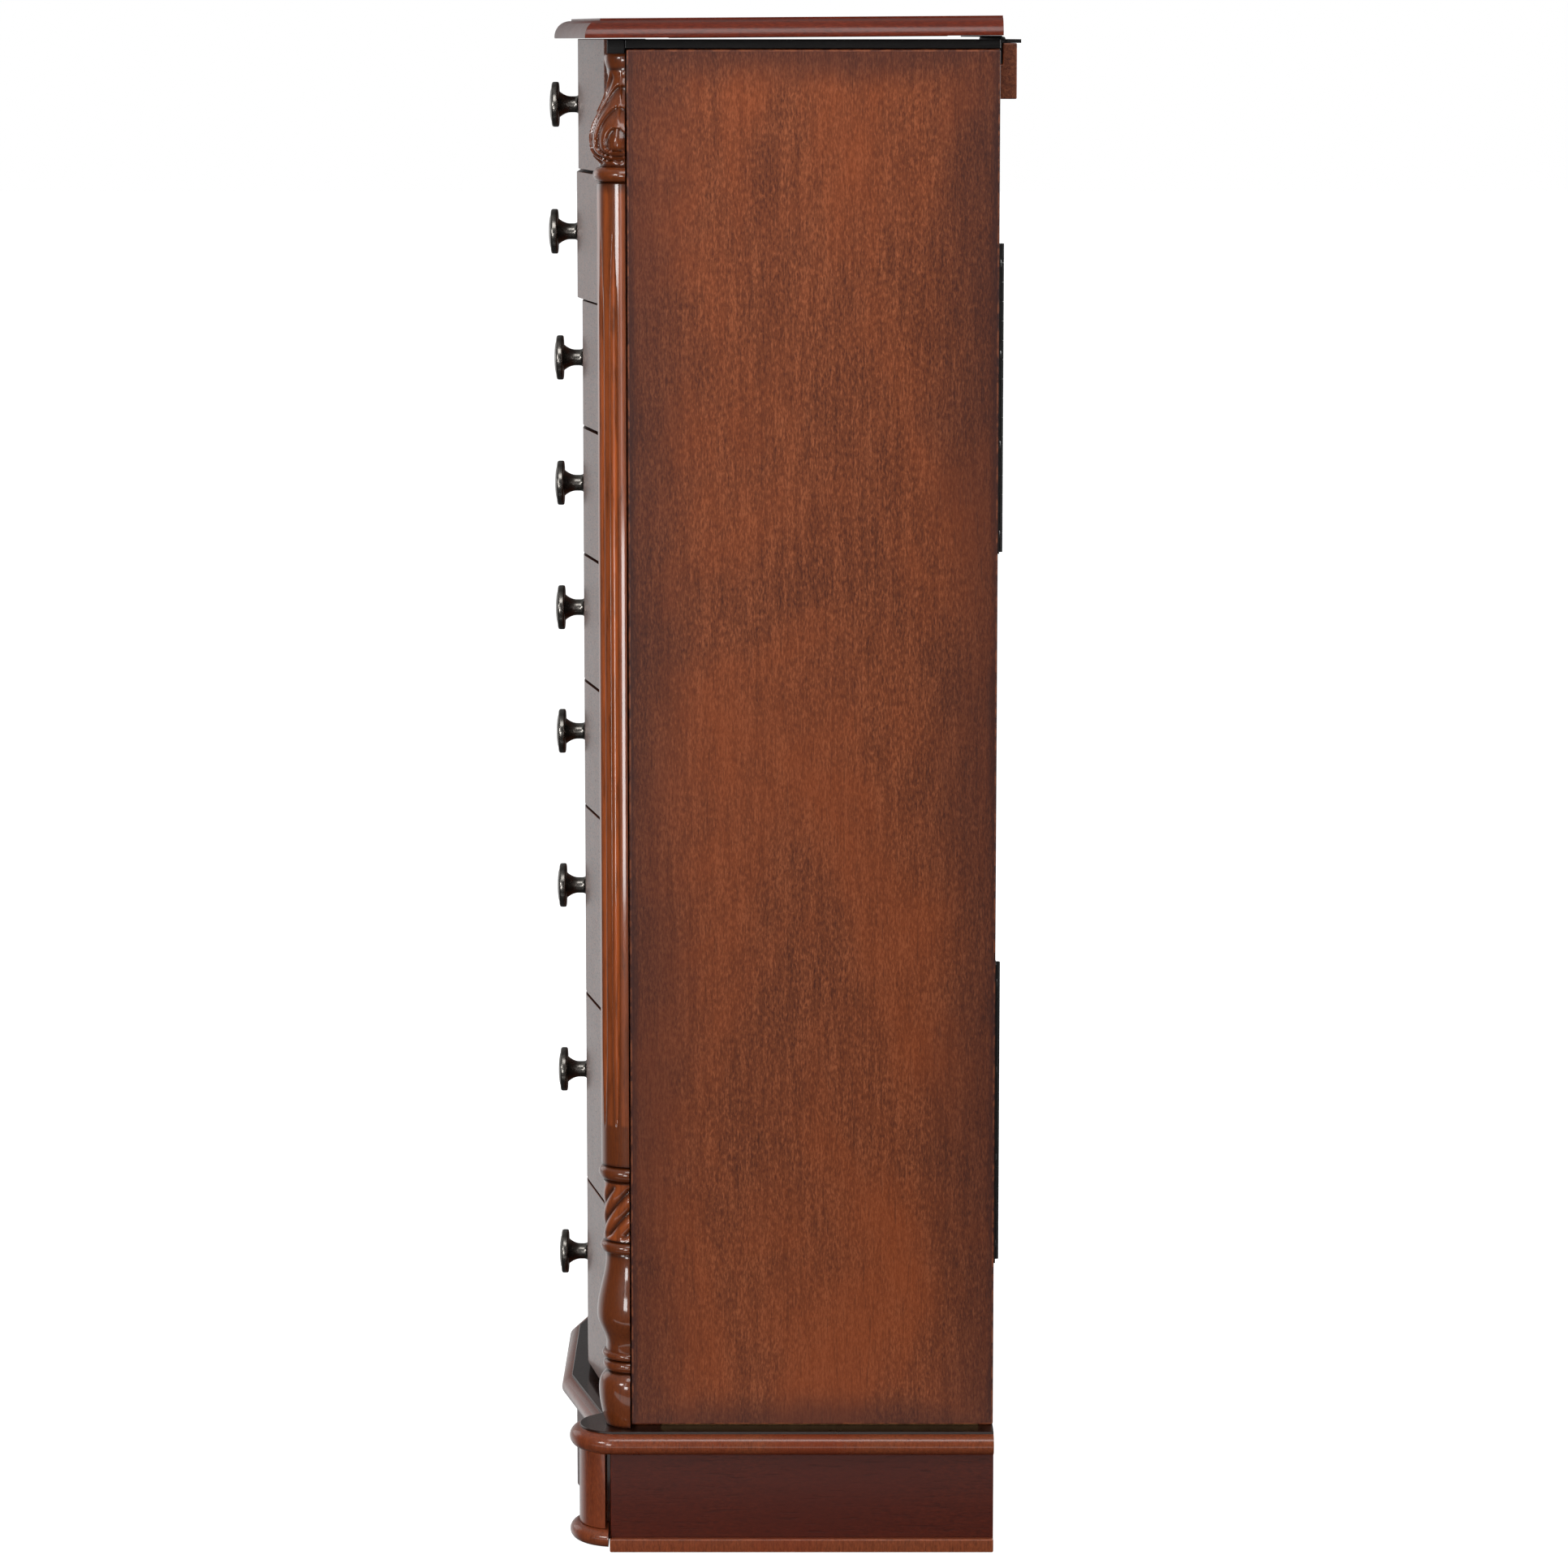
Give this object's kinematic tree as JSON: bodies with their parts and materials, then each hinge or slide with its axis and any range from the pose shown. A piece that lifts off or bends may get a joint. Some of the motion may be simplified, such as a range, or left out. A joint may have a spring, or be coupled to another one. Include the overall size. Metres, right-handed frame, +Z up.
{
  "type": "jewellery armoire",
  "caption": "Standing wooden jewellery chest with lift-up lid, round-knob drawers, swing side doors over necklace bays, turned corner columns and a plinth.",
  "frame": {"origin": "middle of the footprint on the floor, at the bottom centre of the bounding box", "axes": "+X to the side with the right-hand door, -Y towards the drawers' fronts, +Z up"},
  "size_m": [0.45, 0.3188, 1.0271],
  "materials": {
    "case_wood": "satin lacquer over brown stain",
    "plinth_wood": "satin lacquer over red-brown stain",
    "mahogany_moulding": "gloss lacquer over mahogany stain",
    "turned_columns": "gloss lacquer, wiped darker in the carving",
    "front_wood": "satin lacquer on veneer",
    "door_veneer": "satin lacquer on walnut veneer, darker round the edges",
    "drawer_wood": "plain sealed softwood, felt lined",
    "batten_wood": "brown stain",
    "rack_wood": "brown stain, brass hooks",
    "black_lacquer": "near-black stain",
    "pewter": "aged pewter plating",
    "black_steel": "black plated steel",
    "brass": "polished brass",
    "mirror_glass": "silvered glass",
    "tray_lining": "flocked felt over board",
    "ring_roll_fabric": "velvet over foam",
    "catch_plastic": "brown plastic magnetic catches"
  },
  "bodies": {
    "case": {"plinth_side_panels": "plinth_wood", "plinth_apron": "plinth_wood", "plinth_back_rail": "case_wood", "plinth_top_moulding": "mahogany_moulding", "plinth_turrets": "plinth_wood", "turret_foot_rings": "mahogany_moulding", "plinth_base_strips": "mahogany_moulding", "case_bottom": "case_wood", "case_side_left": "case_wood", "case_side_right": "case_wood", "case_back": "case_wood", "corner_posts": "front_wood", "column_left": "turned_columns", "column_right": "turned_columns", "drawer_rails": "case_wood", "drawer_runners": "case_wood", "top_frame": "black_lacquer", "false_front": "front_wood", "false_front_knob": "pewter", "jewellery_tray": "tray_lining", "ring_rolls": "ring_roll_fabric", "hinge_batten": "batten_wood", "lid_hinge_case_leaf": "black_steel", "door_hinge_case_leaves": "black_steel", "magnet_catches": "catch_plastic"},
    "lid": {"lid_panel": "mahogany_moulding", "lid_mirror": "mirror_glass", "mirror_frame": "plinth_wood", "lid_hinge_lid_leaf": "black_steel"},
    "door_left": {"door_left_panel": "door_veneer", "door_left_hinge_leaves": "black_steel", "door_left_necklace_rack": "rack_wood"},
    "door_right": {"door_right_panel": "door_veneer", "door_right_hinge_leaves": "black_steel", "door_right_necklace_rack": "rack_wood"},
    "drawer_1": {"drawer_1_front": "front_wood", "drawer_1_box": "drawer_wood", "drawer_1_knob": "pewter"},
    "drawer_2": {"drawer_2_front": "front_wood", "drawer_2_box": "drawer_wood", "drawer_2_knob": "pewter"},
    "drawer_3": {"drawer_3_front": "front_wood", "drawer_3_box": "drawer_wood", "drawer_3_knob": "pewter"},
    "drawer_4": {"drawer_4_front": "front_wood", "drawer_4_box": "drawer_wood", "drawer_4_knob": "pewter"},
    "drawer_5": {"drawer_5_front": "front_wood", "drawer_5_box": "drawer_wood", "drawer_5_knob": "pewter"},
    "drawer_6": {"drawer_6_front": "front_wood", "drawer_6_box": "drawer_wood", "drawer_6_knob": "pewter"},
    "drawer_7": {"drawer_7_front": "front_wood", "drawer_7_box": "drawer_wood", "drawer_7_knob": "pewter"},
    "drawer_8": {"drawer_8_front": "front_wood", "drawer_8_box": "drawer_wood", "drawer_8_knob": "pewter"}
  },
  "joints": [
    {"name": "drawer_1_slide", "type": "slide", "parent": "case", "child": "drawer_1", "axis": [0, -1, 0], "range_m": [-0.0033, 0.15]},
    {"name": "drawer_2_slide", "type": "slide", "parent": "case", "child": "drawer_2", "axis": [0, -1, 0], "range_m": [0, 0.15]},
    {"name": "drawer_3_slide", "type": "slide", "parent": "case", "child": "drawer_3", "axis": [0, -1, 0], "range_m": [0, 0.15]},
    {"name": "drawer_4_slide", "type": "slide", "parent": "case", "child": "drawer_4", "axis": [0, -1, 0], "range_m": [0, 0.15]},
    {"name": "drawer_5_slide", "type": "slide", "parent": "case", "child": "drawer_5", "axis": [0, -1, 0], "range_m": [0, 0.15]},
    {"name": "drawer_6_slide", "type": "slide", "parent": "case", "child": "drawer_6", "axis": [0, -1, 0], "range_m": [0, 0.15]},
    {"name": "drawer_7_slide", "type": "slide", "parent": "case", "child": "drawer_7", "axis": [0, -1, 0], "range_m": [0, 0.15]},
    {"name": "drawer_8_slide", "type": "slide", "parent": "case", "child": "drawer_8", "axis": [0, -1, 0], "range_m": [0, 0.15]},
    {"name": "lid_hinge", "type": "hinge", "parent": "case", "child": "lid", "pos_m": [0, 0.1475, 1.0119], "axis": [-1, 0, 0], "range_deg": [0, 94]},
    {"name": "door_left_hinge", "type": "hinge", "parent": "case", "child": "door_left", "pos_m": [-0.202, 0.14645, 0.545], "axis": [0, 0, -1], "range_deg": [0, 110]},
    {"name": "door_right_hinge", "type": "hinge", "parent": "case", "child": "door_right", "pos_m": [0.202, 0.14645, 0.545], "axis": [0, 0, 1], "range_deg": [0, 110]}
  ]
}
